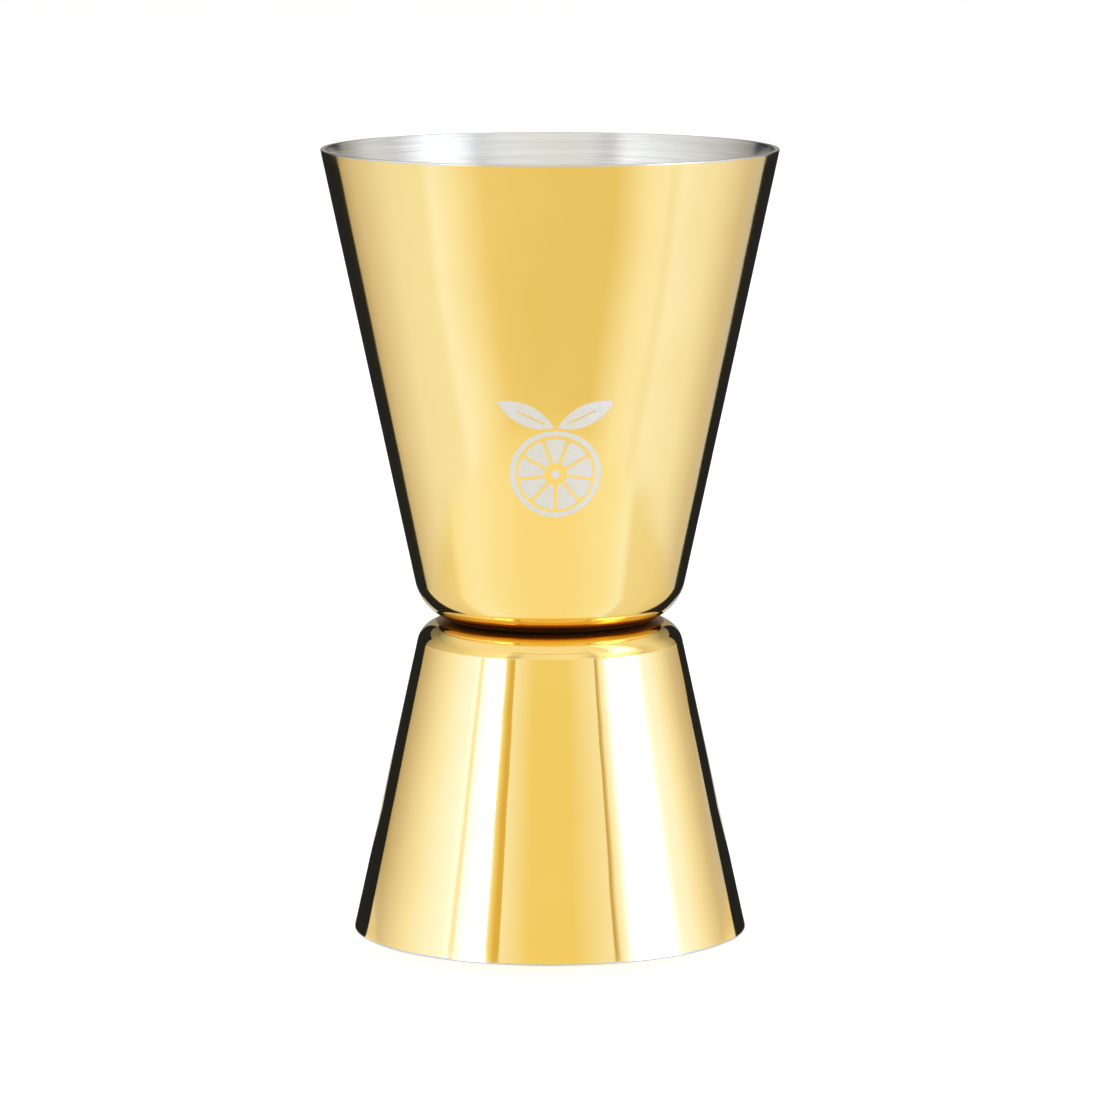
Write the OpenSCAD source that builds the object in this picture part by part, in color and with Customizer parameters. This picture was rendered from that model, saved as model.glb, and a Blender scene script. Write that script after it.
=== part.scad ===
// Double-ended bar jigger: two deep-drawn steel cups, spot-welded floor to floor, plated gold outside.
// Units are millimetres. The origin is the centre of the small cup's rim, where the jigger stands,
// +Z points up through the large cup, and the emblem faces -Y.

/* [Overall] */
// Height from the small cup's rim to the large cup's rim
height = 81.2; // [75:0.1:90]
// Height of the waist, where the two floors touch
waist_z = 32.3; // [29:0.1:36]

/* [Large cup] */
// Outer diameter at the rim
large_rim_d = 47.2; // [44:0.1:52]
// Outer diameter where the straight wall, carried on down, would meet the floor
large_base_d = 26.2; // [25:0.1:29]
// Outer radius of the bottom corner
large_corner_r = 5.2; // [3:0.1:6]

/* [Small cup] */
// Outer diameter at the rim
small_rim_d = 40.8; // [38:0.1:46]
// Outer diameter where the straight wall, carried on, would meet the floor
small_base_d = 26.6; // [25:0.1:29]
// Outer radius of the bottom corner
small_corner_r = 2.7; // [2:0.1:4]

/* [Sheet and plating] */
// Thickness of a cup's wall, plating included
sheet_t = 0.5; // [0.4:0.05:0.7]
// Thickness that stands for the plating
plating_t = 0.1; // [0.05:0.01:0.15]
// Bare steel between the plating's edge and the lip
bare_lip = 0.15; // [0.15:0.05:0.5]
// Radius of the lip's two edges
lip_r = 0.1; // [0.05:0.01:0.16]

/* [Spot welds] */
// Number of welds
weld_count = 3; // [3:1:4]
// Diameter of the circle that the welds sit on
weld_pcd = 9; // [8:0.5:11]
// Diameter of a weld nugget, at the joint between the floors
nugget_d = 3; // [2:0.1:3.5]
// Height of a weld nugget across the joint
nugget_h = 0.6; // [0.4:0.05:0.7]
// Diameter of the mark that the electrode leaves in each floor
mark_d = 3.4; // [2.5:0.1:4]
// Depth of the electrode's mark
mark_depth = 0.06; // [0.02:0.01:0.08]

/* [Emblem] */
// Height of the emblem's centre on the large cup
emblem_z = 51; // [46:0.5:60]
// Diameter of the emblem's citrus wheel
wheel_d = 9.2; // [7:0.1:10]
// Width of the wheel's rind
rind_w = 0.55; // [0.3:0.05:0.8]
// Width of the gold lines between the wheel's parts
line_w = 0.3; // [0.15:0.05:0.4]
// Number of fruit segments
segment_count = 9; // [6:1:10]
// Length of each of the two leaves above the wheel
leaf_l = 6.2; // [4:0.1:7]
// Width of each leaf
leaf_w = 2.2; // [1.5:0.1:2.4]

/* [Hidden] */

$fn = 128;
// How far a cutting shape runs past what it cuts
overrun = 1;
// A cup is held as [rim radius, base radius, height, corner radius]
LARGE = [large_rim_d / 2, large_base_d / 2, height - waist_z, large_corner_r];
SMALL = [small_rim_d / 2, small_base_d / 2, waist_z, small_corner_r];
// Centre of the wheel below the emblem's centre, so that wheel and leaves together are centred
wheel_drop = 1.4;
// Lean of each leaf away from upright
leaf_lean = 66;
// Start of the leaves' midribs, above the wheel
stem_gap = 0.2;
// Radius inside which the fruit segments stop
core_r = 0.45;
// Depth of the block that cuts the emblem out of the curved wall
emblem_cut_depth = 6;
STEEL = "silver";
GOLD = "gold";
ETCHED = "gainsboro";

function rim_r(cup) = cup[0];
function base_r(cup) = cup[1];
function cup_h(cup) = cup[2];
function corner_r(cup) = cup[3];
// Angle between the wall and the cup's axis
function wall_lean(cup) = atan((rim_r(cup) - base_r(cup)) / cup_h(cup));
// Radius of the flat part of the floor, up to where the corner starts
function flat_r(cup) = base_r(cup) - corner_r(cup) * tan(45 - wall_lean(cup) / 2);
// Radius of the wall's surface at height z above the floor, pushed in by inset
function wall_r(cup, inset, z) =
    rim_r(cup) - (cup_h(cup) - z) * tan(wall_lean(cup)) - inset / cos(wall_lean(cup));
// Radius of the sphere whose cap has this diameter and this height
function cap_sphere_r(d, h) = (d * d / 4 + h * h) / (2 * h);

// Half section of the space inside a cup's outer surface pushed in by inset, up to height top
module cup_fill(cup, inset, top) {
    lean = wall_lean(cup);
    arc_r = corner_r(cup) - inset;
    arc_end = [flat_r(cup) + arc_r * cos(lean), corner_r(cup) - arc_r * sin(lean)];
    polygon([
        [0, inset],
        [flat_r(cup), inset],
        arc_end,
        [wall_r(cup, inset, top), top],
        [0, top]
    ]);
    intersection() {
        translate([flat_r(cup), corner_r(cup)])
            circle(r = arc_r);
        polygon([
            [flat_r(cup), inset],
            [flat_r(cup), inset - overrun],
            [arc_end[0] + overrun, inset - overrun],
            [arc_end[0] + overrun, arc_end[1]],
            arc_end
        ]);
    }
}

// What rounding takes off one edge of the lip: side is 1 for the outer edge and -1 for the inner
module lip_edge_waste(cup, inset, side) {
    lean = wall_lean(cup);
    edge = wall_r(cup, inset, cup_h(cup));
    centre = [edge - side * lip_r * (1 + side * sin(lean)) / cos(lean), cup_h(cup) - lip_r];
    touch = centre + side * lip_r * [cos(lean), -sin(lean)];
    difference() {
        polygon([
            [centre[0], cup_h(cup)],
            [centre[0], cup_h(cup) + overrun],
            [edge + side * overrun, cup_h(cup) + overrun],
            [edge + side * overrun, touch[1]],
            touch
        ]);
        translate(centre)
            circle(r = lip_r);
    }
}

// Half section of a cup's steel: the plating's thickness is left off, except at the lip and at the joint
module steel_section(cup, joint_edge) {
    difference() {
        union() {
            cup_fill(cup, plating_t, cup_h(cup));
            intersection() {
                cup_fill(cup, 0, cup_h(cup));
                union() {
                    square([joint_edge, sheet_t]);
                    translate([0, cup_h(cup) - bare_lip])
                        square([rim_r(cup), bare_lip]);
                }
            }
        }
        cup_fill(cup, sheet_t, cup_h(cup) + overrun);
        lip_edge_waste(cup, 0, 1);
        lip_edge_waste(cup, sheet_t, -1);
    }
}

// Half section of the plating, from the edge of the joint round the corner to just below the lip
module plating_section(cup, joint_edge) {
    intersection() {
        difference() {
            cup_fill(cup, 0, cup_h(cup) - bare_lip);
            cup_fill(cup, plating_t, cup_h(cup));
        }
        translate([joint_edge, -overrun])
            square([rim_r(cup), cup_h(cup) + overrun]);
    }
}

// The floors touch only inside the smaller of their two flats, and both platings start there
function joint_r() = min(flat_r(LARGE), flat_r(SMALL));

module at_welds() {
    for (i = [0:weld_count - 1])
        rotate([0, 0, 90 + i * 360 / weld_count])
            translate([weld_pcd / 2, 0, 0])
                children();
}

// One weld nugget: a lens centred on the joint between the floors
module nugget() {
    r = cap_sphere_r(nugget_d, nugget_h / 2);
    intersection() {
        translate([0, 0, r - nugget_h / 2])
            sphere(r = r);
        translate([0, 0, nugget_h / 2 - r])
            sphere(r = r);
    }
}

// The dish that an electrode presses into a floor, on the floor's inner face
module electrode_mark() {
    r = cap_sphere_r(mark_d, mark_depth);
    intersection() {
        translate([0, 0, sheet_t - mark_depth + r])
            sphere(r = r);
        cylinder(d = mark_d + overrun, h = sheet_t + overrun);
    }
}

// A cup's bare steel, standing on its floor
module steel_cup(cup) {
    difference() {
        rotate_extrude()
            steel_section(cup, joint_r());
        at_welds() {
            nugget();
            electrode_mark();
        }
    }
}

module plating(cup) {
    rotate_extrude()
        plating_section(cup, joint_r());
}

module on_waist() {
    translate([0, 0, waist_z])
        children();
}

// The small cup stands upside down, with its floor against the large cup's
module below_waist() {
    on_waist()
        mirror([0, 0, 1])
            children();
}

// One fruit segment, pointing up
module fruit_segment() {
    outer_r = wheel_d / 2 - rind_w - line_w;
    half_angle = 180 / segment_count;
    // Distance up the middle at which the two straight sides meet, half a line from each ray
    apex = line_w / 2 / sin(half_angle);
    reach = outer_r + overrun;
    intersection() {
        difference() {
            circle(r = outer_r);
            circle(r = core_r + line_w);
        }
        polygon([
            [0, apex],
            [reach * tan(half_angle), apex + reach],
            [-reach * tan(half_angle), apex + reach]
        ]);
    }
}

module citrus_wheel() {
    difference() {
        circle(d = wheel_d);
        circle(r = wheel_d / 2 - rind_w);
    }
    for (i = [0:segment_count - 1])
        rotate([0, 0, i * 360 / segment_count])
            fruit_segment();
    circle(r = core_r);
}

// A pointed leaf that grows up from the origin, split by a midrib line
module leaf() {
    r = cap_sphere_r(leaf_l, leaf_w / 2);
    difference() {
        intersection() {
            translate([r - leaf_w / 2, leaf_l / 2])
                circle(r = r);
            translate([leaf_w / 2 - r, leaf_l / 2])
                circle(r = r);
        }
        translate([-line_w / 4, leaf_l / 6])
            square([line_w / 2, leaf_l / 2]);
    }
}

module emblem_outline() {
    translate([0, -wheel_drop])
        citrus_wheel();
    for (side = [-1, 1])
        translate([side * stem_gap, wheel_d / 2 - wheel_drop + line_w])
            rotate([0, 0, -side * leaf_lean])
                leaf();
}

// The emblem's outline as a block that passes square through the front of the large cup's wall
module emblem_block() {
    centre_z = emblem_z - waist_z;
    translate([0, -wall_r(LARGE, 0, centre_z), emblem_z])
        rotate([90 + wall_lean(LARGE), 0, 0])
            linear_extrude(height = emblem_cut_depth, center = true)
                emblem_outline();
}

module large_cup() {
    color(STEEL)
        on_waist()
            steel_cup(LARGE);
}

module small_cup() {
    color(STEEL)
        below_waist()
            steel_cup(SMALL);
}

module large_cup_plating() {
    color(GOLD)
        difference() {
            on_waist()
                plating(LARGE);
            emblem_block();
        }
}

module small_cup_plating() {
    color(GOLD)
        below_waist()
            plating(SMALL);
}

module spot_welds() {
    color("slategray")
        on_waist()
            at_welds()
                nugget();
}

module emblem() {
    color(ETCHED)
        intersection() {
            on_waist()
                plating(LARGE);
            emblem_block();
        }
}

large_cup();
small_cup();
large_cup_plating();
small_cup_plating();
spot_welds();
emblem();
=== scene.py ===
"""Looks of a double-ended bar jigger: two steel cups joined base to base, gold-plated outside."""
import math

import bpy
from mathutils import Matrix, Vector, geometry


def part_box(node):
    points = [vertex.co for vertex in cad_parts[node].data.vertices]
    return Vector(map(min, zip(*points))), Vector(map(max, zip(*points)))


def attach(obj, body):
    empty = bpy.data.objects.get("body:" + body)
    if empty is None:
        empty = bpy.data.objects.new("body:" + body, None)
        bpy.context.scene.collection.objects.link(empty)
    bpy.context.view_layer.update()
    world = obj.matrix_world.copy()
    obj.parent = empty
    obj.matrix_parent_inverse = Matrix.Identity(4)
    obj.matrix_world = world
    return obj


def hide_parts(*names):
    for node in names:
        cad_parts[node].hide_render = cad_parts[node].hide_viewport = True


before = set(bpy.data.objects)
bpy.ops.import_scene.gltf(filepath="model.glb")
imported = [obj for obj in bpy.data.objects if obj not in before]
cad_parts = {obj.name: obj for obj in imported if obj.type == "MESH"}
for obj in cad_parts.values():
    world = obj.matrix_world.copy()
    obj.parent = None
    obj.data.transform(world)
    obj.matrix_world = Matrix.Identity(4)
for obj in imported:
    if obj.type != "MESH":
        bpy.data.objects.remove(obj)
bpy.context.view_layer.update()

MM = 0.001

# ---------------------------------------------------------------- sizes, from model.glb where it has them


def node_top(node):
    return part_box(node)[1][2]


def widest_radius(node):
    """Largest distance from the Z axis of any point of a CAD node."""
    return max(math.hypot(v.co.x, v.co.y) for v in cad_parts[node].data.vertices)


class Cup:
    """One cup, measured from its floor: outer rim and base radius, height and outer corner radius."""

    def __init__(self, node, base_r, corner_r, height):
        self.rim_r = widest_radius(node)
        self.base_r = base_r
        self.corner_r = corner_r
        self.height = height
        self.lean = math.atan((self.rim_r - base_r) / height)
        self.flat_r = base_r - corner_r * math.tan(math.pi / 4 - self.lean / 2)

    def wall_r(self, inset, z):
        """Radius of the wall's surface at height z above the floor, pushed in by inset."""
        return self.rim_r - (self.height - z) * math.tan(self.lean) - inset / math.cos(self.lean)

    def corner_end_z(self, inset):
        """Height at which the corner's arc meets the straight wall."""
        return self.corner_r - (self.corner_r - inset) * math.sin(self.lean)


WAIST_Z = node_top("small_cup")
LARGE = Cup("large_cup", 13.1 * MM, 5.2 * MM, node_top("large_cup") - WAIST_Z)
SMALL = Cup("small_cup", 13.3 * MM, 2.7 * MM, WAIST_Z)
SHEET_T = 0.5 * MM
PLATING_T = 0.1 * MM
BARE_LIP = LARGE.height - (node_top("large_cup_plating") - WAIST_Z)
LIP_R = 0.1 * MM
PLATING_EDGE_R = 0.03 * MM
JOINT_R = min(LARGE.flat_r, SMALL.flat_r)

WELD_COUNT = 3
WELD_CIRCLE_R = 4.5 * MM
WELD_MARK_R = 1.7 * MM
WELD_MARK_DEPTH = 0.06 * MM
WELD_ANGLES = [math.pi / 2 + 2 * math.pi * i / WELD_COUNT for i in range(WELD_COUNT)]
WELD_CENTRES = [(WELD_CIRCLE_R * math.cos(a), WELD_CIRCLE_R * math.sin(a)) for a in WELD_ANGLES]

SEGMENTS = 360
FLOOR_RINGS = 56
ARC_STEPS = 24
SMALL_ARC_STEPS = 6
WALL_STEPS = 8
SMALL_WALL_STEPS = 12
INNER_WALL_STEPS = 24

# Normal of a floor in a profile, and how close numbers count as the same
FLOOR_NORMAL = (0.0, 1.0)
SHORTEST = 1e-9
ON_AXIS = 1e-7
SAME_HEIGHT = 1e-6

# ---------------------------------------------------------------- mesh helpers


def new_object(name, verts, faces, normals=None, material=None):
    """A mesh object, with one normal per face corner where they are given."""
    mesh = bpy.data.meshes.new(name)
    mesh.from_pydata(verts, [], faces)
    mesh.validate()
    mesh.shade_smooth()
    if normals:
        mesh.normals_split_custom_set(normals)
    obj = bpy.data.objects.new(name, mesh)
    bpy.context.scene.collection.objects.link(obj)
    if material:
        mesh.materials.append(material)
    return obj


class Profile:
    """A closed half section, walked with the solid on the left, as points and the normals of each step."""

    def __init__(self):
        self.points = []
        self.steps = []

    def add(self, point, normal_from=None, normal_to=None):
        """A point, and the normals at both ends of the step to it; the first point has no step."""
        if self.points:
            self.steps.append((normal_from, normal_to))
        self.points.append(point)

    def line(self, end, count=1):
        """A straight run to end, in count equal steps."""
        start = self.points[-1]
        dr, dz = end[0] - start[0], end[1] - start[1]
        length = math.hypot(dr, dz)
        if length < SHORTEST:
            return
        normal = (dz / length, -dr / length)
        for i in range(1, count + 1):
            self.add((start[0] + dr * i / count, start[1] + dz * i / count), normal, normal)

    def arc(self, centre, radius, start_deg, end_deg, count):
        """A round run; its normals point away from the centre if it turns anticlockwise."""
        side = 1 if end_deg > start_deg else -1
        angles = [math.radians(start_deg + (end_deg - start_deg) * i / count) for i in range(count + 1)]
        for before, after in zip(angles, angles[1:]):
            point = (centre[0] + radius * math.cos(after), centre[1] + radius * math.sin(after))
            self.add(
                point,
                (side * math.cos(before), side * math.sin(before)),
                (side * math.cos(after), side * math.sin(after)),
            )


def spin(profile, upside_down=False, relief=None, skip=None):
    """Turns a closed profile round Z: returns verts, faces and corner normals, and the ring of each point.

    upside_down stands the cup on its mouth, below the waist. relief(x, y) gives a depth pressed into the
    inner floor and its slopes. skip(step, column) leaves out a face.
    """
    turn = -1 if upside_down else 1
    verts, rings = [], []
    for r, z in profile.points:
        if r < ON_AXIS:
            rings.append([len(verts)] * SEGMENTS)
            verts.append((0.0, 0.0, WAIST_Z + turn * z))
            continue
        rings.append(list(range(len(verts), len(verts) + SEGMENTS)))
        for k in range(SEGMENTS):
            angle = column_angle(k)
            verts.append((r * math.cos(angle), r * math.sin(angle), WAIST_Z + turn * z))
    if relief:
        for i, (x, y, z) in enumerate(verts):
            if abs(z - (WAIST_Z + turn * SHEET_T)) < SAME_HEIGHT:
                verts[i] = (x, y, z - turn * relief(x, y)[0])

    def corner_normal(index, normal, column):
        if relief and normal == FLOOR_NORMAL:
            x, y, _ = verts[index]
            _, slope_x, slope_y = relief(x, y)
            n = Vector((slope_x, slope_y, 1.0)).normalized()
            return (n.x, n.y, turn * n.z)
        angle = column_angle(column)
        return (normal[0] * math.cos(angle), normal[0] * math.sin(angle), turn * normal[1])

    faces, normals = [], []
    for step, (n_from, n_to) in enumerate(profile.steps):
        lower, upper = rings[step], rings[(step + 1) % len(rings)]
        for k in range(SEGMENTS):
            if skip and skip(step, k):
                continue
            j = (k + 1) % SEGMENTS
            corners = [(lower[k], n_from, k), (lower[j], n_from, j)]
            corners += [(upper[j], n_to, j), (upper[k], n_to, k)]
            if lower[k] == lower[j]:
                corners.pop(1)
            elif upper[k] == upper[j]:
                corners.pop(2)
            if upside_down:
                corners.reverse()
            faces.append([c[0] for c in corners])
            normals.extend(corner_normal(*c) for c in corners)
    return verts, faces, normals, rings


def column_angle(k):
    """Column 0 is at the front, -Y."""
    return -math.pi / 2 + 2 * math.pi * k / SEGMENTS


# ---------------------------------------------------------------- cup profiles


def lip_arcs(cup, inset, side):
    """Centre and angles of one rounded edge of the lip: side is 1 outside and -1 inside."""
    lean = math.degrees(cup.lean)
    edge = cup.wall_r(inset, cup.height)
    centre_r = edge - side * LIP_R * (1 + side * math.sin(cup.lean)) / math.cos(cup.lean)
    wall_angle = -lean if side > 0 else 180 - lean
    return (centre_r, cup.height - LIP_R), wall_angle


def steel_profile(cup):
    """Half section of the steel, round the underside, up the outside, over the lip and down the inside."""
    lean = math.degrees(cup.lean)
    p = Profile()
    p.add((0.0, 0.0))
    p.line((JOINT_R, 0.0))
    p.line((JOINT_R, PLATING_T))
    p.line((cup.flat_r, PLATING_T))
    p.arc((cup.flat_r, cup.corner_r), cup.corner_r - PLATING_T, -90, -lean, ARC_STEPS)
    bare_z = cup.height - BARE_LIP
    p.line((cup.wall_r(PLATING_T, bare_z), bare_z), WALL_STEPS)
    p.line((cup.wall_r(0, bare_z), bare_z))
    outer, outer_angle = lip_arcs(cup, 0, 1)
    p.line((outer[0] + LIP_R * math.cos(cup.lean), outer[1] - LIP_R * math.sin(cup.lean)))
    p.arc(outer, LIP_R, outer_angle, 90, SMALL_ARC_STEPS)
    inner, inner_angle = lip_arcs(cup, SHEET_T, -1)
    p.line((inner[0], cup.height))
    p.arc(inner, LIP_R, 90, inner_angle, SMALL_ARC_STEPS)
    inner_corner_r = cup.corner_r - SHEET_T
    corner_end_z = cup.corner_end_z(SHEET_T)
    p.line((cup.wall_r(SHEET_T, corner_end_z), corner_end_z), INNER_WALL_STEPS)
    p.arc((cup.flat_r, cup.corner_r), inner_corner_r, -lean, -90, ARC_STEPS)
    p.line((0.0, SHEET_T), FLOOR_RINGS)
    return p


def plating_profile(cup, wall_rows=()):
    """Half section of the plating. wall_rows are heights at which the outer wall gets a ring of points."""
    lean = math.degrees(cup.lean)
    p = Profile()
    p.add((JOINT_R, 0.0))
    p.line((cup.flat_r, 0.0))
    p.arc((cup.flat_r, cup.corner_r), cup.corner_r, -90, -lean, ARC_STEPS)
    top_z = cup.height - BARE_LIP
    for z in wall_rows:
        p.line((cup.wall_r(0, z), z))
    edge_z = top_z - PLATING_EDGE_R
    edge_r = cup.wall_r(0, top_z) - PLATING_EDGE_R * (1 + math.sin(cup.lean)) / math.cos(cup.lean)
    p.line((edge_r + PLATING_EDGE_R * math.cos(cup.lean), edge_z - PLATING_EDGE_R * math.sin(cup.lean)))
    p.arc((edge_r, edge_z), PLATING_EDGE_R, -lean, 90, SMALL_ARC_STEPS)
    p.line((cup.wall_r(PLATING_T, top_z), top_z))
    corner_end_z = cup.corner_end_z(PLATING_T)
    p.line((cup.wall_r(PLATING_T, corner_end_z), corner_end_z), WALL_STEPS)
    p.arc((cup.flat_r, cup.corner_r), cup.corner_r - PLATING_T, -lean, -90, ARC_STEPS)
    p.line((JOINT_R, PLATING_T))
    p.line((JOINT_R, 0.0))
    p.points.pop()
    return p


def weld_marks(x, y):
    """Depth and slopes of the electrodes' shallow dishes at a point of an inner floor."""
    for centre_x, centre_y in WELD_CENTRES:
        dx = x - centre_x
        dy = y - centre_y
        d = math.hypot(dx, dy) / WELD_MARK_R
        if d < 1:
            slope = -4 * WELD_MARK_DEPTH * d * (1 - d * d) / WELD_MARK_R
            unit = max(d * WELD_MARK_R, SHORTEST)
            return WELD_MARK_DEPTH * (1 - d * d) ** 2, slope * dx / unit, slope * dy / unit
    return 0.0, 0.0, 0.0


# ---------------------------------------------------------------- emblem outline, in millimetres

EMBLEM_Z = 51.0
WHEEL_R = 4.6
WHEEL_DROP = 1.4
RIND_W = 0.55
LINE_W = 0.3
SEGMENT_COUNT = 9
CORE_R = 0.45
OUTER_ROUND = 0.28
TIP_ROUND = 0.2
LEAF_L = 6.2
LEAF_W = 2.2
LEAF_LEAN = 66.0
STEM_GAP = 0.2
RIB_LOW = LEAF_L / 6
RIB_HIGH = LEAF_L * 2 / 3
OUTLINE_STEP = 0.09
FEWEST_STEPS = 3


def arc_points(centre, radius, start, end):
    """Points along an arc, angles in degrees, no further apart than OUTLINE_STEP."""
    count = max(FEWEST_STEPS, math.ceil(abs(math.radians(end - start)) * radius / OUTLINE_STEP))
    angles = [math.radians(start + (end - start) * i / count) for i in range(count + 1)]
    return [(centre[0] + radius * math.cos(a), centre[1] + radius * math.sin(a)) for a in angles]


def circle_points(centre, radius):
    return arc_points(centre, radius, 0, 360)[:-1]


def fruit_segment(middle_deg):
    """A rounded wedge: straight sides half a line from each ray, an outer arc and a round tip."""
    outer_r = WHEEL_R - RIND_W - LINE_W
    half = 180 / SEGMENT_COUNT
    side = LINE_W / 2
    lean = math.degrees(math.asin((side + OUTER_ROUND) / (outer_r - OUTER_ROUND)))
    out = []
    tip_r = (side + TIP_ROUND) / math.sin(math.radians(half))
    tip = polar(tip_r, middle_deg)
    for sign in (-1, 1):
        ray = middle_deg + sign * half
        corner = polar(outer_r - OUTER_ROUND, ray - sign * lean)
        corner_arc = arc_points(corner, OUTER_ROUND, ray + sign * 90, ray - sign * lean)
        if sign < 0:
            out += arc_points(tip, TIP_ROUND, middle_deg + 180, ray - 90)[:-1] + corner_arc
            out += arc_points((0, 0), outer_r, ray + lean, middle_deg + half - lean)[1:-1]
        else:
            out += corner_arc[::-1] + arc_points(tip, TIP_ROUND, ray + 90, middle_deg + 180)[:-1]
    return out


def polar(radius, angle_deg):
    """The point at this distance and angle from the origin."""
    return (radius * math.cos(math.radians(angle_deg)), radius * math.sin(math.radians(angle_deg)))


def moved(points, dx, dy, turn_deg=0.0):
    """Points turned about the origin, then moved by dx, dy."""
    c, s = math.cos(math.radians(turn_deg)), math.sin(math.radians(turn_deg))
    return [(dx + c * x - s * y, dy + s * x + c * y) for x, y in points]


def leaf_outlines():
    """A pointed leaf that grows up from the origin, and the slot of its midrib."""
    half_w = LEAF_W / 2
    r = (LEAF_L * LEAF_L / 4 + half_w * half_w) / (2 * half_w)
    sweep = math.degrees(math.asin(LEAF_L / 2 / r))
    left = arc_points((r - half_w, LEAF_L / 2), r, 180 + sweep, 180 - sweep)
    right = arc_points((half_w - r, LEAF_L / 2), r, sweep, -sweep)
    rib_w = LINE_W / 4
    rib = arc_points((0, RIB_LOW), rib_w, 180, 360) + arc_points((0, RIB_HIGH), rib_w, 0, 180)
    return [left[:-1] + right[:-1], rib]


def emblem_outlines():
    """Closed outlines; a point is etched where an odd number of them hold it."""
    wheel = (0.0, -WHEEL_DROP)
    outlines = [circle_points(wheel, WHEEL_R), circle_points(wheel, WHEEL_R - RIND_W)]
    outlines.append(circle_points(wheel, CORE_R))
    for i in range(SEGMENT_COUNT):
        outlines.append(moved(fruit_segment(90 + i * 360 / SEGMENT_COUNT), *wheel))
    for side in (-1, 1):
        for outline in leaf_outlines():
            foot = WHEEL_R - WHEEL_DROP + LINE_W
            outlines.append(moved(outline, side * STEM_GAP, foot, -side * LEAF_LEAN))
    return outlines


def inside(point, outline):
    """Whether a closed outline holds the point."""
    x, y = point
    hit = False
    for (x0, y0), (x1, y1) in zip(outline, outline[1:] + outline[:1]):
        if (y0 > y) != (y1 > y) and x < x0 + (x1 - x0) * (y - y0) / (y1 - y0):
            hit = not hit
    return hit


# ---------------------------------------------------------------- the emblem's patch on the cone

EMBLEM_WALL_Z = EMBLEM_Z * MM - WAIST_Z

# The patch of the large cup's plating that is meshed finely round the emblem
PATCH_HALF_COLUMNS = 26
PATCH_REACH = 7 * MM
PATCH_LOW_Z = EMBLEM_WALL_Z - PATCH_REACH
PATCH_HIGH_Z = EMBLEM_WALL_Z + PATCH_REACH
PATCH_ROWS = 20
ROW_BELOW_PATCH = 3 * MM
GRID = 0.5
GRID_SPAN = 8.0
GRID_GAP = 0.3 * GRID
MERGE_GAP = 1e-6
RECESS_DEPTH = 0.06 * MM
INLAY_DEPTH = 0.012 * MM

EMBLEM_R = LARGE.wall_r(0, EMBLEM_WALL_Z)
EMBLEM_CENTRE = Vector((0, -EMBLEM_R, EMBLEM_Z * MM))
EMBLEM_UP = Vector((0, -math.sin(LARGE.lean), math.cos(LARGE.lean)))
EMBLEM_OUT = Vector((0, -math.cos(LARGE.lean), -math.sin(LARGE.lean)))


def cone_normal(point):
    """The large cup's outward normal beside a point of its wall."""
    r = math.hypot(point.x, point.y)
    c = math.cos(LARGE.lean)
    return Vector((point.x / r * c, point.y / r * c, -math.sin(LARGE.lean)))


def on_cone(x, y):
    """The point of the large cup's outer wall behind (x, y) millimetres on the emblem's flat plane."""
    x, y = x * MM, y * MM
    s, c = math.sin(LARGE.lean), math.cos(LARGE.lean)
    reach = EMBLEM_R + s * y
    a = c * c - s ** 4 / (c * c)
    b = 2 * reach / c
    t = (-b + math.sqrt(b * b - 4 * a * x * x)) / (2 * a)
    return EMBLEM_CENTRE + Vector((x, 0, 0)) + EMBLEM_UP * y + EMBLEM_OUT * t


def on_plane(point):
    """The emblem plane's (x, y), in millimetres, of a point of the wall."""
    d = Vector(point) - EMBLEM_CENTRE
    return (d.x / MM, d.dot(EMBLEM_UP) / MM)


def near_outline(point, outlines, gap):
    """Whether a point of any outline is closer than gap in both directions."""
    return any(
        abs(point[0] - q[0]) < gap and abs(point[1] - q[1]) < gap for outline in outlines for q in outline
    )


def mesh_patch(border):
    """Splits the patch inside the border into triangles along the emblem's outlines.

    border is the patch's edge as plane points. Returns the plane points, the first of them the border's,
    and the triangles, each with whether it is etched.
    """
    outlines = emblem_outlines()
    points = list(border)
    edges = [(i, (i + 1) % len(border)) for i in range(len(border))]
    for outline in outlines:
        first = len(points)
        points += outline
        edges += [(first + i, first + (i + 1) % len(outline)) for i in range(len(outline))]
    span = int(GRID_SPAN / GRID)
    for i in range(-span, span + 1):
        for j in range(-span, span + 1):
            q = ((i + 0.5 * (j % 2)) * GRID, j * GRID)
            if inside(q, border) and not near_outline(q, outlines + [border], GRID_GAP):
                points.append(q)
    result = geometry.delaunay_2d_cdt([Vector(q) for q in points], edges, [], 0, MERGE_GAP, True)
    verts, faces, origins = result[0], result[2], result[3]
    order = sorted(range(len(verts)), key=lambda i: min(origins[i]) if origins[i] else len(points))
    place = {old: new for new, old in enumerate(order)}
    plane = [tuple(verts[i]) for i in order]
    triangles = []
    for face in faces:
        middle = [sum(verts[i][axis] for i in face) / 3 for axis in (0, 1)]
        if not inside(middle, border):
            continue
        etched = sum(inside(middle, outline) for outline in outlines) % 2 == 1
        corners = [place[i] for i in face]
        (ax, ay), (bx, by), (cx, cy) = (plane[i] for i in corners)
        if (bx - ax) * (cy - ay) - (by - ay) * (cx - ax) < 0:
            corners.reverse()
        triangles.append((corners, etched))
    return plane, triangles


def outline_edges(triangles):
    """Edges, as directed in the etched triangles, that have gold on their other side."""
    gold = set()
    for corners, etched in triangles:
        if not etched:
            gold.update(zip(corners, corners[1:] + corners[:1]))
    return [
        edge
        for corners, etched in triangles
        if etched
        for edge in zip(corners, corners[1:] + corners[:1])
        if (edge[1], edge[0]) in gold
    ]


def side_normal(a, b):
    """Normal of the recess's side under the directed edge ab of an etched area, facing into the area."""
    return tuple(cone_normal(a).cross(b - a).normalized())


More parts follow.
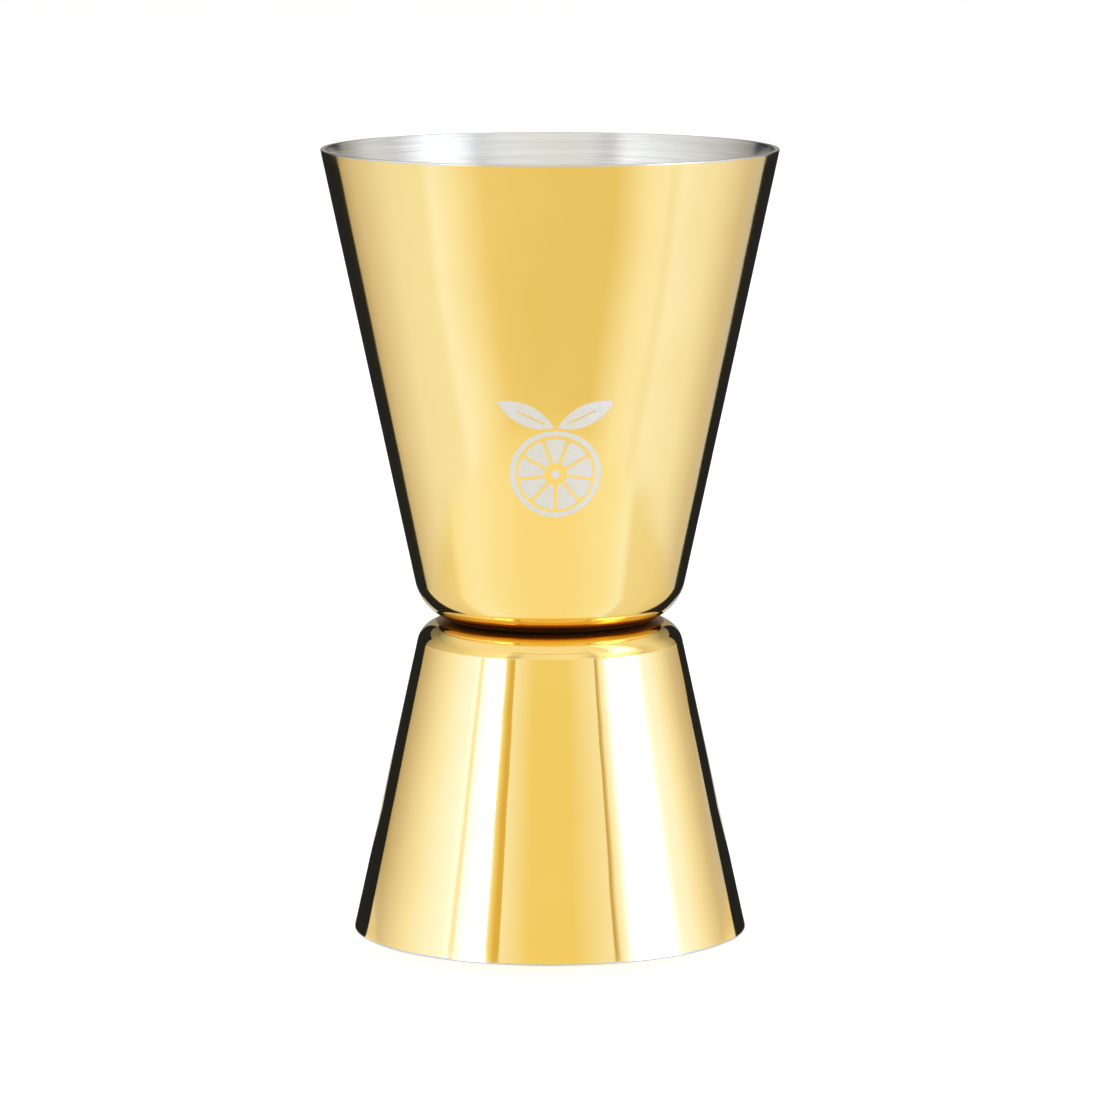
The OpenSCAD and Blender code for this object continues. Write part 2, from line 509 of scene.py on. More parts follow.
def large_wall_rows():
    """Heights of the rings up the large cup's wall: one below the patch, the patch's own, and the rest."""
    patch_height = PATCH_HIGH_Z - PATCH_LOW_Z
    patch_rows = [PATCH_LOW_Z + patch_height * i / PATCH_ROWS for i in range(PATCH_ROWS + 1)]
    last = patch_rows[-1]
    rest = LARGE.height - BARE_LIP - last
    upper_rows = [last + rest * i / WALL_STEPS for i in range(1, WALL_STEPS)]
    return [patch_rows[0] - ROW_BELOW_PATCH], patch_rows, upper_rows


def patch_border(rings, low, high):
    """The vertex numbers round the patch, from the lower corner on the left."""
    columns = [k % SEGMENTS for k in range(-PATCH_HALF_COLUMNS, PATCH_HALF_COLUMNS + 1)]
    loop = [rings[low][k] for k in columns]
    loop += [rings[row][columns[-1]] for row in range(low + 1, high)]
    loop += [rings[high][k] for k in reversed(columns)]
    loop += [rings[row][columns[0]] for row in range(high - 1, low, -1)]
    return loop


def recessed(point, depth):
    """A point of the wall moved in by depth."""
    return tuple(point - cone_normal(point) * depth)


def inlay_mesh(points, triangles, edges):
    """Verts, faces and normals of the steel in the recess: its face, its back and its sides."""
    verts, faces, normals = [], [], []
    layers = {}

    def layer_vert(i, depth):
        if (i, depth) not in layers:
            layers[i, depth] = len(verts)
            verts.append(recessed(points[i], depth))
        return layers[i, depth]

    for corners, etched in triangles:
        if not etched:
            continue
        faces.append([layer_vert(i, INLAY_DEPTH) for i in corners])
        normals.extend(tuple(cone_normal(points[i])) for i in corners)
        faces.append([layer_vert(i, RECESS_DEPTH) for i in reversed(corners)])
        normals.extend(tuple(-cone_normal(points[i])) for i in reversed(corners))
    for i, j in edges:
        out = tuple(-c for c in side_normal(points[i], points[j]))
        corners = [(i, INLAY_DEPTH), (i, RECESS_DEPTH), (j, RECESS_DEPTH), (j, INLAY_DEPTH)]
        faces.append([layer_vert(*c) for c in corners])
        normals.extend([out] * 4)
    return verts, faces, normals


def large_plating_mesh():
    """Verts, faces and normals of the large cup's plating, recessed at the emblem, and of the inlay."""
    lower_rows, patch_rows, upper_rows = large_wall_rows()
    profile = plating_profile(LARGE, lower_rows + patch_rows + upper_rows)
    heights = [z for _, z in profile.points]
    low = heights.index(patch_rows[0])
    high = heights.index(patch_rows[-1])

    def in_patch(step, column):
        near_front = column < PATCH_HALF_COLUMNS or column >= SEGMENTS - PATCH_HALF_COLUMNS
        return low <= step < high and near_front

    verts, faces, normals, rings = spin(profile, skip=in_patch)
    border = patch_border(rings, low, high)
    plane, triangles = mesh_patch([on_plane(verts[i]) for i in border])
    points = [Vector(verts[i]) for i in border] + [on_cone(*q) for q in plane[len(border):]]
    index = border + list(range(len(verts), len(verts) + len(plane) - len(border)))
    verts += [tuple(p) for p in points[len(border):]]
    sunk = {}

    def sink(i):
        if i not in sunk:
            sunk[i] = len(verts)
            verts.append(recessed(points[i], RECESS_DEPTH))
        return sunk[i]

    for corners, etched in triangles:
        faces.append([sink(i) if etched else index[i] for i in corners])
        normals.extend(tuple(cone_normal(points[i])) for i in corners)
    edges = outline_edges(triangles)
    for i, j in edges:
        faces.append([index[i], index[j], sink(j), sink(i)])
        normals.extend([side_normal(points[i], points[j])] * 4)
    return (verts, faces, normals), inlay_mesh(points, triangles, edges)


# ---------------------------------------------------------------- materials

GOLD = (1.0, 0.73, 0.26)
GOLD_DEEP = (0.98, 0.70, 0.235)
# Painted shade in the groove at the waist: a brown core and a deeper orange fringe round it
SHADE_BROWN = (0.42, 0.22, 0.06)
SHADE_ORANGE = (0.82, 0.50, 0.09)
STEEL = (0.76, 0.755, 0.74)
STEEL_DARK = (0.66, 0.655, 0.64)
STEEL_LIGHT = (0.84, 0.835, 0.82)
HEAT_TINT = (0.42, 0.33, 0.24)
ETCH_DARK = (0.69, 0.665, 0.64)
ETCH_LIGHT = (0.79, 0.765, 0.74)
WELD_DARK = (0.30, 0.29, 0.28)
WELD_LIGHT = (0.48, 0.46, 0.44)

# Noise scales are per metre; a grain has one along the brushing and one across it
MARKS_SCALE = 90.0
WAVE_SCALE = 150.0
WEAR_SCALE = 600.0
GOLD_GRAIN = (260.0, 16000.0)
STEEL_GRAIN = (130.0, 9000.0)
STEEL_BANDS = (30.0, 1400.0)
ETCH_SCALE = 9000.0
ETCH_PATCH_SCALE = 2500.0
WELD_SCALE = 3000.0

# The spans of a noise that a ramp stretches over its whole output
NOISE = (0.3, 0.7)
NOISE_CORE = (0.35, 0.65)
MARKS_NOISE = (0.3, 0.75)

GRAIN_DEPTH = 0.02 * MM
ETCH_DEPTH = 0.01 * MM
WEAR_REACH = 1.6 * MM
WEAR_ROUGHNESS = 0.12
# Painted shade at the waist groove: extra roughness under it, and the share of each reach that is fully
# shaded
GROOVE_SHADE_ROUGHNESS = 0.3
ORANGE_SHADE_FULL = 0.8
BROWN_SHADE_FULL = 0.6
BAND_SHARE = 0.4
HEAT_INNER_R = 1.2 * MM
HEAT_OUTER_R = 2.6 * MM
HEAT_STRENGTH = 0.55


class Nodes:
    """A node material, built a node at a time."""

    def __init__(self, name):
        self.material = bpy.data.materials.new(name)
        self.material.use_nodes = True
        self.tree = self.material.node_tree
        self.tree.nodes.clear()
        self.output = self.tree.nodes.new("ShaderNodeOutputMaterial")

    def add(self, kind, settings=None, **inputs):
        """A node with its settings and inputs, returned as its first output.

        An input is a value or another node's output, named by its label or as i0, i1 and so on.
        """
        node = self.tree.nodes.new("ShaderNode" + kind)
        for key, value in (settings or {}).items():
            setattr(node, key, value)
        for key, value in inputs.items():
            socket = node.inputs[int(key[1:]) if key[1:].isdigit() else key.replace("_", " ")]
            if isinstance(value, bpy.types.NodeSocket):
                self.tree.links.new(value, socket)
            else:
                socket.default_value = value
        return node.outputs[0]

    def math(self, operation, a, b=0.0):
        return self.add("Math", {"operation": operation}, i0=a, i1=b)

    def ramp(self, value, low, high, out_low=0.0, out_high=1.0):
        """value mapped from low..high to out_low..out_high, held at the ends."""
        return self.add("MapRange", None, i0=value, i1=low, i2=high, i3=out_low, i4=out_high)

    def finish(self, shader):
        self.tree.links.new(shader, self.output.inputs["Surface"])
        return self.material


def object_axes(n):
    """The object's own X, Y and Z, in metres."""
    coords = n.tree.nodes.new("ShaderNodeTexCoord").outputs["Object"]
    split = n.tree.nodes.new("ShaderNodeSeparateXYZ")
    n.tree.links.new(coords, split.inputs[0])
    return split.outputs[0], split.outputs[1], split.outputs[2]


def axis_radius(n, x, y):
    """Distance of (x, y) from the origin."""
    return n.math("SQRT", n.math("ADD", n.math("MULTIPLY", x, x), n.math("MULTIPLY", y, y)))


def round_grain(n, scales, detail=3.0):
    """Noise drawn out round the Z axis: fine across the brushing, long along it."""
    along_scale, across_scale = scales
    x, y, z = object_axes(n)
    path = n.math("ADD", z, axis_radius(n, x, y))
    stretched = n.add(
        "CombineXYZ",
        None,
        i0=n.math("MULTIPLY", x, along_scale),
        i1=n.math("MULTIPLY", y, along_scale),
        i2=n.math("MULTIPLY", path, across_scale),
    )
    return n.add("TexNoise", None, Vector=stretched, Scale=1.0, Detail=detail, Roughness=0.6)


def cloud(n, scale, detail=3.0):
    """Noise with no direction."""
    coords = n.tree.nodes.new("ShaderNodeTexCoord").outputs["Object"]
    return n.add("TexNoise", None, Vector=coords, Scale=scale, Detail=detail, Roughness=0.55)


def height_mask(n, height, full, end):
    """1 within full above or below this height, falling to 0 at end."""
    z = object_axes(n)[2]
    away = n.math("ABSOLUTE", n.math("SUBTRACT", z, height))
    return n.ramp(away, full, end, out_low=1.0, out_high=0.0)


def mix_colour(n, factor, a, b):
    """From a to b as factor, a node's output, goes from 0 to 1; a and b are colours or outputs."""
    node = n.tree.nodes.new("ShaderNodeMix")
    node.data_type = "RGBA"
    n.tree.links.new(factor, node.inputs[0])
    for socket, colour in ((node.inputs[6], a), (node.inputs[7], b)):
        if isinstance(colour, bpy.types.NodeSocket):
            n.tree.links.new(colour, socket)
        else:
            socket.default_value = (*colour, 1.0)
    return node.outputs[2]


def gold_material(name, roughness, spread, grain_bump, brown_shade_reach, orange_shade_reach):
    """Gold plating: polishing lines round the cup, soft handling marks, and a duller foot and lip.

    Painted shade darkens the groove at the waist to brown within the first reach of its height, and a
    deeper orange painted shade goes on to the second reach.
    """
    n = Nodes(name)
    marks = cloud(n, MARKS_SCALE)
    grain = round_grain(n, GOLD_GRAIN)
    base = mix_colour(n, n.ramp(marks, *NOISE), GOLD, GOLD_DEEP)
    # Painted shade: deep orange, then brown, towards the groove at the waist
    orange_shade = height_mask(n, WAIST_Z, ORANGE_SHADE_FULL * orange_shade_reach, orange_shade_reach)
    base = mix_colour(n, orange_shade, base, SHADE_ORANGE)
    brown_shade = height_mask(n, WAIST_Z, BROWN_SHADE_FULL * brown_shade_reach, brown_shade_reach)
    base = mix_colour(n, brown_shade, base, SHADE_BROWN)
    rough = n.ramp(marks, *MARKS_NOISE, out_low=roughness, out_high=roughness + spread)
    rough = n.math("ADD", rough, n.math("MULTIPLY", n.math("SUBTRACT", grain, 0.5), spread))
    for height in (0.0, WAIST_Z + LARGE.height):
        worn = n.math("MULTIPLY", height_mask(n, height, 0.0, WEAR_REACH), cloud(n, WEAR_SCALE))
        rough = n.math("ADD", rough, n.math("MULTIPLY", worn, WEAR_ROUGHNESS))
    # Rougher under the groove's painted shade
    rough = n.math("ADD", rough, n.math("MULTIPLY", brown_shade, GROOVE_SHADE_ROUGHNESS))
    wave = n.add("Bump", None, Strength=1.0, Distance=GRAIN_DEPTH, Height=cloud(n, WAVE_SCALE, detail=1.0))
    bump = n.add("Bump", None, Strength=grain_bump, Distance=GRAIN_DEPTH, Height=grain, Normal=wave)
    shader = n.add("BsdfPrincipled", None, Base_Color=base, Metallic=1.0, Roughness=rough, Normal=bump)
    return n.finish(shader)


def heat_mask(n):
    """1 at each weld, falling to 0 round it."""
    x, y, _ = object_axes(n)
    mask = None
    for centre_x, centre_y in WELD_CENTRES:
        dx = n.math("SUBTRACT", x, centre_x)
        dy = n.math("SUBTRACT", y, centre_y)
        spot = n.ramp(axis_radius(n, dx, dy), HEAT_INNER_R, HEAT_OUTER_R, out_low=1.0, out_high=0.0)
        mask = spot if mask is None else n.math("MAXIMUM", mask, spot)
    return mask


def steel_material():
    """Stainless steel brushed round the cup, with a faint heat tint at the welds."""
    n = Nodes("brushed_steel")
    grain = round_grain(n, STEEL_GRAIN, detail=4.0)
    bands = round_grain(n, STEEL_BANDS, detail=2.0)
    grain_part = n.math("MULTIPLY", grain, 1 - BAND_SHARE)
    shade = n.math("ADD", grain_part, n.math("MULTIPLY", bands, BAND_SHARE))
    base = mix_colour(n, n.ramp(shade, *NOISE_CORE), STEEL_DARK, STEEL_LIGHT)
    base = mix_colour(n, n.math("MULTIPLY", heat_mask(n), HEAT_STRENGTH), base, HEAT_TINT)
    rough = n.ramp(grain, *NOISE, out_low=0.12, out_high=0.22)
    bump = n.add("Bump", None, Strength=0.3, Distance=GRAIN_DEPTH, Height=grain)
    tangent = n.add("Tangent", {"direction_type": "RADIAL", "axis": "Z"})
    shader = n.add(
        "BsdfPrincipled",
        None,
        Base_Color=base,
        Metallic=1.0,
        Roughness=rough,
        Anisotropic=0.3,
        Tangent=tangent,
        Normal=bump,
    )
    return n.finish(shader)


def etched_material():
    """Frosted steel: an even, fine grain with no direction."""
    n = Nodes("etched_mark")
    grain = cloud(n, ETCH_SCALE, detail=2.0)
    base = mix_colour(n, n.ramp(grain, *NOISE_CORE), ETCH_DARK, ETCH_LIGHT)
    rough = n.ramp(cloud(n, ETCH_PATCH_SCALE), *NOISE, out_low=0.5, out_high=0.62)
    bump = n.add("Bump", None, Strength=0.3, Distance=ETCH_DEPTH, Height=grain)
    shader = n.add("BsdfPrincipled", None, Base_Color=base, Metallic=0.85, Roughness=rough, Normal=bump)
    return n.finish(shader)


def weld_material():
    """Dull, mottled metal of the welds."""
    n = Nodes("weld_metal")
    grain = cloud(n, WELD_SCALE)
    base = mix_colour(n, grain, WELD_DARK, WELD_LIGHT)
    rough = n.ramp(grain, 0.0, 1.0, out_low=0.4, out_high=0.7)
    shader = n.add("BsdfPrincipled", None, Base_Color=base, Metallic=1.0, Roughness=rough)
    return n.finish(shader)


# ---------------------------------------------------------------- the pieces


def add_piece(name, mesh, material, node):
    """A visible piece made of a mesh's verts, faces and normals, in place of a CAD node."""
    piece = new_object(name, mesh[0], mesh[1], mesh[2], material)
    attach(piece, "root")
    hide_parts(node)


def add_cups():
    steel = steel_material()
    large = spin(steel_profile(LARGE), relief=weld_marks)
    small = spin(steel_profile(SMALL), upside_down=True, relief=weld_marks)
    add_piece("large_cup_steel", large, steel, "large_cup")
    add_piece("small_cup_steel", small, steel, "small_cup")


def add_large_plating():
    satin = gold_material(
        "gold_satin",
        roughness=0.06,
        spread=0.03,
        grain_bump=0.06,
        # How far the painted shade at the waist groove reaches
        brown_shade_reach=0.9 * MM,
        orange_shade_reach=1.4 * MM,
    )
    plating, inlay = large_plating_mesh()
    add_piece("large_cup_gold", plating, satin, "large_cup_plating")
    add_piece("emblem_inlay", inlay, etched_material(), "emblem")


def add_small_plating():
    mirror = gold_material(
        "gold_mirror",
        roughness=0.035,
        spread=0.02,
        grain_bump=0.02,
        # How far the painted shade at the waist groove reaches
        brown_shade_reach=0.12 * MM,
        orange_shade_reach=0.42 * MM,
    )
    low = SMALL.corner_end_z(0)
    wall = SMALL.height - BARE_LIP - low
    rows = [low + wall * i / SMALL_WALL_STEPS for i in range(1, SMALL_WALL_STEPS)]
    plating = spin(plating_profile(SMALL, rows), upside_down=True)
    add_piece("small_cup_gold", plating, mirror, "small_cup_plating")


def paint_welds():
    """The welds keep their CAD mesh and get a material."""
    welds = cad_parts["spot_welds"]
    welds.data.materials.clear()
    welds.data.materials.append(weld_material())


add_cups()
add_large_plating()
add_small_plating()
paint_welds()

# ---------------------------------------------------------------- camera

CAMERA_TURN = math.radians(1.9)
CAMERA_DISTANCE = 599.6 * MM
CAMERA_HEIGHT = 125.0 * MM
CAMERA_PITCH = math.radians(8.11)
CAMERA_SENSOR = 36.0
CAMERA_LENS = 191.4
CAMERA_CLIP = 0.01


def stage_point(azimuth_deg, radius, z):
    """A point on a circle round the object; azimuth 0 is towards the camera and grows to its right."""
    a = math.radians(azimuth_deg) - CAMERA_TURN
    return (radius * math.sin(a), -radius * math.cos(a), z)


def add_camera():
    data = bpy.data.cameras.new("camera")
    data.sensor_width = CAMERA_SENSOR
    data.lens = CAMERA_LENS
    data.clip_start = CAMERA_CLIP
    camera = bpy.data.objects.new("camera", data)
    bpy.context.scene.collection.objects.link(camera)
    camera.location = stage_point(0, CAMERA_DISTANCE, CAMERA_HEIGHT)
    camera.rotation_euler = (math.pi / 2 - CAMERA_PITCH, 0, -CAMERA_TURN)
    bpy.context.scene.camera = camera


add_camera()

# ---------------------------------------------------------------- studio

FLOOR_R = 6.0
FLOOR_SIDES = 96
FLOOR_DARK = (0.90, 0.90, 0.895)
FLOOR_LIGHT = (0.92, 0.92, 0.915)
FLOOR_SCALE = 3.0
WALL_R = 0.9
LOW_WALL_TOP = 0.33
HIGH_WALL_BOTTOM = 0.05
HIGH_WALL_MIDDLE = 0.50
HIGH_WALL_TOP = 0.84
FRAME_TOP = 0.90
CEILING_Z = 1.25
MAT_R = 0.102
BAND_R = 0.112
BAND_SPREAD = -0.3
SHEET_START = math.radians(20)
SHEET_GAP = 0.048
SHEET_REACH = 1.2
SHEET_HEEL = (0.5, 0.8)
BOX_BOW = 1.3
CARD_STEP = 3
CARD_LIFT = 0.05 * MM
CEILING_LIGHT = 0.96


def floor_material():
    n = Nodes("studio_floor")
    base = mix_colour(n, cloud(n, FLOOR_SCALE), FLOOR_DARK, FLOOR_LIGHT)
    shader = n.add("BsdfPrincipled", None, Base_Color=base, Roughness=0.7)
    return n.finish(shader)


def add_floor():
    verts = [stage_point(360 * i / FLOOR_SIDES, FLOOR_R, 0.0) for i in range(FLOOR_SIDES)]
    floor = new_object("studio_floor", verts, [list(range(FLOOR_SIDES))], None, floor_material())


def glow_material():
    """Light from a card as strong as the colour painted at its corners."""
    n = Nodes("card_glow")
    paint = n.tree.nodes.new("ShaderNodeAttribute")
    paint.attribute_name = "glow"
    shader = n.add("Emission", None, Color=paint.outputs["Color"], Strength=1.0)
    return n.finish(shader)


CARD_GLOW = glow_material()


def linear(level):
    """Linear light of an sRGB level from 0 to 255."""
    level /= 255
    return level / 12.92 if level < 0.04045 else ((level + 0.055) / 1.055) ** 2.4


def light_for(seen, metal):
    """The light that a metal shows as the colour seen."""
    return [linear(level) / tint for level, tint in zip(seen, metal)]


def reflection_only(obj):
    """Seen in polished metal, but not by the camera, and neither lights nor shades the floor."""
    obj.visible_camera = False
    obj.visible_diffuse = False
    obj.visible_shadow = False
    obj.visible_transmission = False
    obj.visible_volume_scatter = False


def add_card(name, verts, faces, paint):
    """A glowing card with a light painted on each of its points."""
    obj = new_object(name, verts, faces, None, CARD_GLOW)
    layer = obj.data.color_attributes.new("glow", "FLOAT_COLOR", "POINT")
    for i, colour in enumerate(paint):
        layer.data[i].color = colour + [1.0]
    reflection_only(obj)


def between(first, last, f):
    """The colour a share f of the way from first to last."""
    return [a + (b - a) * f for a, b in zip(first, last)]


def spread_azimuth(azimuth, spread):
    """An azimuth moved away from the camera's (spread above 0) or towards it, on the camera's side."""
    return azimuth + spread * azimuth * max(0.0, 1 - abs(azimuth) / 90)


def card(name, rows, stops, metal, bow=0.0):
    """A studio card bent round the object through rows of (radius, z, share).

    stops are (azimuth, colour) pairs, each colour as it is to be seen in the metal. A row gives off
    share of that light and for the rest the ceiling's. A fourth value in a row is its spread.
    bow lowers the card away from the camera's side.
    """
    verts, paint = [], []
    for (start, seen_start), (end, seen_end) in zip(stops, stops[1:]):
        count = max(1, math.ceil((end - start) / CARD_STEP))
        light_start = light_for(seen_start, metal)
        light_end = light_for(seen_end, metal)
        for i in range(1 if verts else 0, count + 1):
            f = i / count
            light = between(light_start, light_end, f)
            azimuth = start + (end - start) * f
            drop = bow * (1 - math.cos(math.radians(azimuth / 2)))
            for radius, z, share, *spread in rows:
                verts.append(stage_point(spread_azimuth(azimuth, sum(spread)), radius, z - drop * z))
                mixed = between([CEILING_LIGHT] * len(light), light, share)
                paint.append([max(0.0, level) for level in mixed])
    n = len(rows)
    faces = [
        [i * n + j, (i + 1) * n + j, (i + 1) * n + j + 1, i * n + j + 1]
        for i in range(len(verts) // n - 1)
        for j in range(n - 1)
    ]
    add_card(name, verts, faces, paint)


def floor_sheet(name, side, azimuth, seen):
    """A straight-edged dark sheet on the floor behind the object, on its left (-1) or right (1).

    Its outer edge runs from beside the foot towards azimuth. Its inner edge leaves a gap behind the object.
    """
    a = math.radians(azimuth)
    foot_r = SMALL.rim_r - PLATING_T
    start = (foot_r * math.cos(SHEET_START), -foot_r * math.sin(SHEET_START))
    outline = [
        start,
        (start[0] + SHEET_REACH * math.sin(a), start[1] - SHEET_REACH * math.cos(a)),
        (SHEET_GAP, SHEET_REACH),
        (SHEET_GAP, 2 * SHEET_GAP),
        (SHEET_HEEL[0] * foot_r, SHEET_HEEL[1] * foot_r),
    ]
    c, s = math.cos(CAMERA_TURN), math.sin(CAMERA_TURN)
    verts = [(c * side * x + s * y, c * y - s * side * x, 2 * CARD_LIFT) for x, y in outline]
    add_card(name, verts, [list(range(len(verts)))], [light_for(seen, GOLD)] * len(verts))


def colour_at(stops, azimuth):
    """The colour that stops give at an azimuth."""
    for (start, first), (end, last) in zip(stops, stops[1:]):
        if start <= azimuth <= end:
            return between(first, last, (azimuth - start) / (end - start))


def floor_blend(name, mat_stops, band_stops):
    """A ring that fades from the mat's colours to the floor band's, just under the edges of both."""
    own_azimuths = (azimuth for azimuth, _ in mat_stops + band_stops)
    azimuths = sorted({*range(-180, 181, CARD_STEP), *own_azimuths})
    verts, paint = [], []
    for azimuth in azimuths:
        moved_azimuth = spread_azimuth(azimuth, BAND_SPREAD)
        verts.append(stage_point(moved_azimuth, MAT_R - MM / 2, CARD_LIFT / 2))
        paint.append(light_for(colour_at(mat_stops, moved_azimuth), GOLD))
        verts.append(stage_point(moved_azimuth, BAND_R + MM / 2, CARD_LIFT / 2))
        paint.append(light_for(colour_at(band_stops, azimuth), GOLD))
    faces = [[2 * i, 2 * i + 1, 2 * i + 3, 2 * i + 2] for i in range(len(azimuths) - 1)]
    add_card(name, verts, faces, paint)


# Colours as the gold shows them, from the darkest flag to a clipped highlight
BLACK = (36, 32, 20)
DUSK = (165, 140, 84)
BRONZE = (190, 158, 88)
OLD_GOLD = (217, 187, 121)
PANEL = (243, 205, 101)
LINE = (222, 172, 62)
DEEP_LINE = (205, 162, 75)
CEILING = (250, 215, 136)
PALE_GOLD = (252, 228, 158)
STRAW = (255, 243, 190)
CREAM = (266, 252, 212)
WHITE = (440, 410, 290)

WALL_DARK = (90, 87, 80)
WALL_GREY = (190, 187, 180)
WALL_SHADE = (196, 195, 189)

# The rows of each card: radius, height, share of its own light and, where it has one, spread
FLOOR_BAND = [
    (BAND_R, CARD_LIFT, 1, BAND_SPREAD),
    (0.130, CARD_LIFT, 1, -0.1),
    (0.160, CARD_LIFT, 1, 0.15),
    (WALL_R, CARD_LIFT, 1, 0.15),
]
MAT = [(0.0, CARD_LIFT, 1), (MAT_R, CARD_LIFT, 1)]
GAP_WALL = [(WALL_R, 0.0, 1), (WALL_R, 0.32, 1), (WALL_R, 0.36, 0)]
FLAG_WALL = [(WALL_R, 0.0, 1), (WALL_R, LOW_WALL_TOP, 1)]
BOX_WALL = [
    (WALL_R, 0.0, 1),
    (WALL_R, 0.282, 1),
    (WALL_R, 0.305, 0.4),
    (WALL_R, 0.335, 0.12),
    (WALL_R, 0.345, 0),
]
SEAM_R = WALL_R - MM
SEAM_WALL = [(SEAM_R, 0.0, 1), (SEAM_R, 0.29, 1)]
FRAME = [(SEAM_R, HIGH_WALL_TOP, 1), (SEAM_R, FRAME_TOP, 1)]
GLOW_R = WALL_R - 2 * MM
GLOW_Z = CEILING_Z - 2 * MM
GLOW_WALL = [
    (GLOW_R, 0.34, 0.12, 0),
    (GLOW_R, 0.46, 0.2, 0.1),
    (GLOW_R, 0.60, 0.7, 0.4),
    (GLOW_R, HIGH_WALL_TOP, 0.5, 0.7),
    (GLOW_R, GLOW_Z, 0.3, 0.9),
    (WALL_R / 3, GLOW_Z, 0, 0.9),
]
OUTER_WALL_R = WALL_R + MM
HIGH_WALL = [
    (OUTER_WALL_R, HIGH_WALL_BOTTOM, 1),
    (OUTER_WALL_R, HIGH_WALL_MIDDLE, 1),
    (OUTER_WALL_R, HIGH_WALL_TOP, 0.2),
    (OUTER_WALL_R, CEILING_Z, 0),
]
CEILING_ROWS = [(WALL_R, CEILING_Z, 0), (0.0, CEILING_Z, 0)]

# The stops of each card: azimuth and the colour seen there
GAP_STOPS = [(-30, PALE_GOLD), (-13, PANEL), (14, PANEL), (38, PALE_GOLD)]
POST_LEFT_STOPS = [(-38.5, STRAW), (-36, PANEL), (-33, LINE), (-30, LINE)]
POST_RIGHT_STOPS = [(38, DEEP_LINE), (39.5, DEEP_LINE), (42, PALE_GOLD), (47, CREAM)]
BOX_LEFT_STOPS = [
    (-136, BRONZE), (-120, OLD_GOLD), (-95, PALE_GOLD), (-80, STRAW), (-66, CREAM), (-38.5, WHITE),
]
BOX_RIGHT_STOPS = [
    (47, CREAM), (51, WHITE), (76, WHITE), (84, CREAM), (95, STRAW), (104, PALE_GOLD), (122, OLD_GOLD),
    (142, BRONZE),
]
SEAM_STOPS = [(-62.5, CREAM), (-60, PALE_GOLD), (-57.5, CREAM)]
BAND_STOPS = [
    (-180, DUSK), (-134, BRONZE), (-120, OLD_GOLD), (-90, (245, 222, 155)), (-66, (249, 226, 156)),
    (-60, (255, 238, 180)), (-48, (253, 229, 158)), (-30, (240, 203, 108)), (-10, (237, 199, 102)),
    (30, (235, 198, 101)), (48, (253, 229, 158)), (58, (254, 233, 166)), (62, (249, 225, 155)),
    (68, (254, 235, 176)), (93, (247, 225, 160)), (120, OLD_GOLD), (137, (200, 178, 124)), (180, DUSK),
]
MAT_STOPS = [
    (-180, OLD_GOLD), (-100, (232, 200, 124)), (-84, (241, 208, 124)), (-77, (254, 227, 146)),
    (-62, (254, 232, 162)), (-45, (253, 226, 146)), (-15, (252, 218, 124)), (10, (252, 218, 124)),
    (45, (254, 228, 148)), (59, (254, 237, 172)), (65, (243, 214, 134)), (90, (240, 210, 128)),
    (115, (226, 192, 112)), (180, OLD_GOLD),
]
HIGH_WALL_STOPS = [
    (-180, WALL_DARK), (-145, (112, 110, 102)), (-108, (188, 185, 176)), (-74, (219, 218, 210)),
    (-50, (232, 231, 225)), (-42, (244, 242, 236)), (-36, WALL_GREY), (-29, WALL_GREY),
    (-24, (216, 216, 210)), (20, (226, 226, 222)), (32, (218, 218, 214)), (37, WALL_SHADE),
    (42, WALL_SHADE), (47, (262, 262, 260)), (66, (272, 272, 270)), (76, (240, 239, 233)),
    (90, (200, 198, 190)), (112, (212, 211, 204)), (135, (150, 146, 134)), (180, WALL_DARK),
]
GLOW_STOPS = [(46, CEILING), (54, WHITE), (72, WHITE), (92, CEILING)]


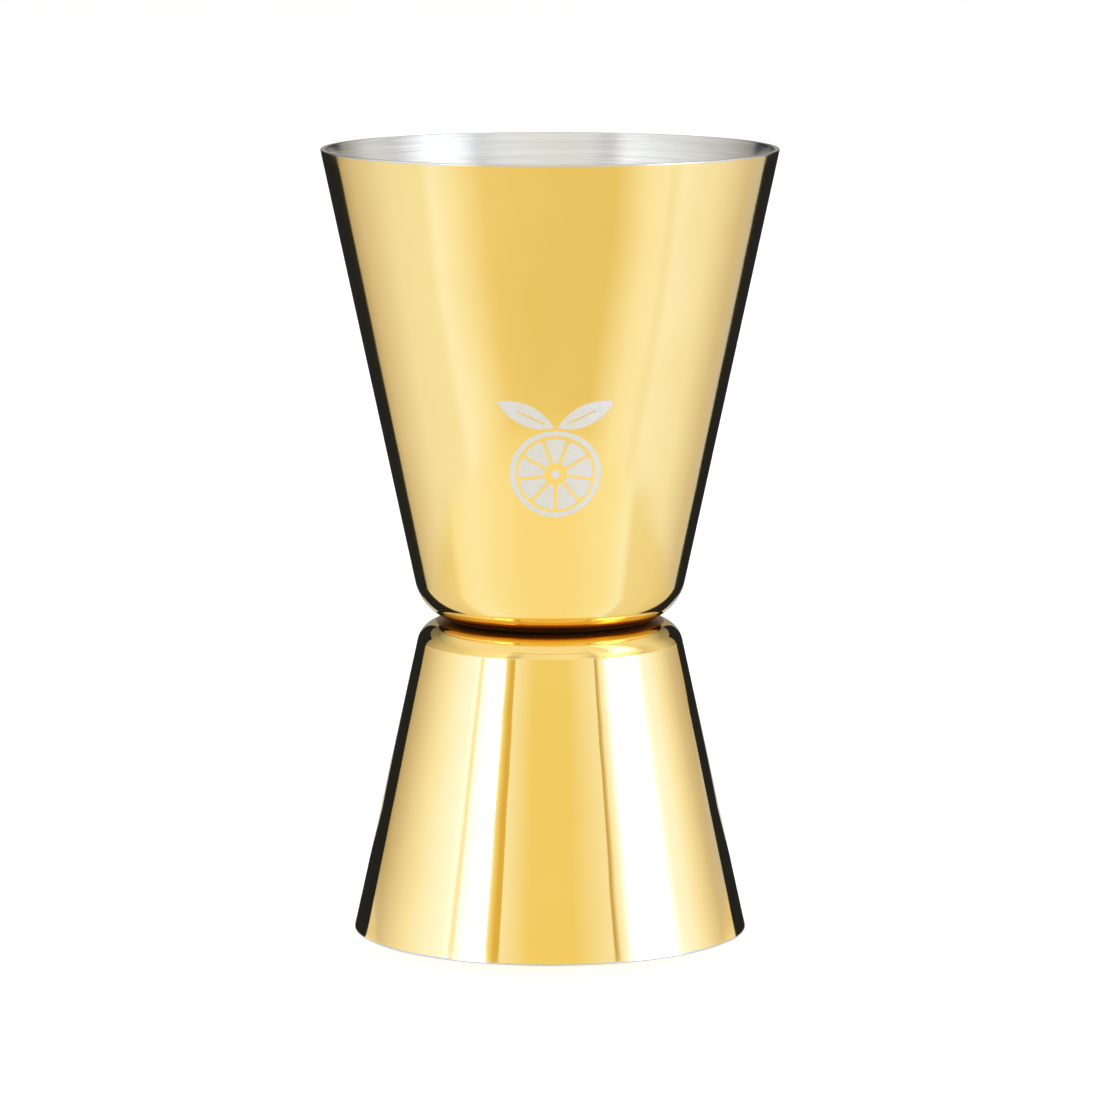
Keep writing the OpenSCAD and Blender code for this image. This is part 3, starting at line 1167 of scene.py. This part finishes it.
def add_low_walls():
    """What the small cup shows: a gap between two softboxes with a post at each edge, and flags behind."""
    card("gap", GAP_WALL, GAP_STOPS, GOLD)
    card("post_left", BOX_WALL, POST_LEFT_STOPS, GOLD, BOX_BOW)
    card("post_right", BOX_WALL, POST_RIGHT_STOPS, GOLD, BOX_BOW)
    card("softbox_left", BOX_WALL, BOX_LEFT_STOPS, GOLD, BOX_BOW)
    card("seam_left", SEAM_WALL, SEAM_STOPS, GOLD, BOX_BOW)
    card("softbox_right", BOX_WALL, BOX_RIGHT_STOPS, GOLD, BOX_BOW)
    card("flag_left", FLAG_WALL, [(-167, BLACK), (-136, BLACK)], GOLD)
    card("flag_right", FLAG_WALL, [(142, BLACK), (167, BLACK)], GOLD)
    card("back_gap", FLAG_WALL, [(167, DUSK), (193, DUSK)], GOLD)


def add_floor_cards():
    """What the large cup's wall shows: the floor round the object, with dark sheets behind it."""
    card("floor_band", FLOOR_BAND, BAND_STOPS, GOLD)
    floor_sheet("floor_flag_left", -1, 137, BLACK)
    floor_sheet("floor_flag_right", 1, 141, BLACK)
    card("mat", MAT, MAT_STOPS, GOLD)
    floor_blend("floor_blend", MAT_STOPS, BAND_STOPS)


def add_high_cards():
    """What the steel inside and the small cup's shoulder show."""
    card("wall_high", HIGH_WALL, HIGH_WALL_STOPS, STEEL)
    card("frame_top", FRAME, [(-40, LINE), (42, LINE)], GOLD)
    card("overhead_glow", GLOW_WALL, GLOW_STOPS, GOLD)
    card("ceiling", CEILING_ROWS, [(-180, WHITE), (180, WHITE)], GOLD)


def add_world():
    """White light from all round."""
    world = bpy.data.worlds.new("studio")
    bpy.context.scene.world = world
    world.use_nodes = True
    background = world.node_tree.nodes["Background"]
    background.inputs["Color"].default_value = (1.0, 1.0, 1.0, 1.0)
    background.inputs["Strength"].default_value = 1.0


def area_light(name, azimuth, radius, z, width, power):
    """A soft square light that points at the object and doesn't show in the metal."""
    data = bpy.data.lights.new(name, "AREA")
    data.shape = "SQUARE"
    data.size = width
    data.energy = power
    obj = bpy.data.objects.new(name, data)
    bpy.context.scene.collection.objects.link(obj)
    obj.location = stage_point(azimuth, radius, z)
    aim = Vector((0, 0, LARGE.height)) - obj.location
    obj.rotation_euler = aim.to_track_quat("-Z", "Y").to_euler()
    obj.visible_glossy = False


add_floor()
add_low_walls()
add_floor_cards()
add_high_cards()
add_world()
area_light("top_light", azimuth=180, radius=0.3, z=1.4, width=1.2, power=14.0)

bpy.context.scene.view_settings.view_transform = "Standard"
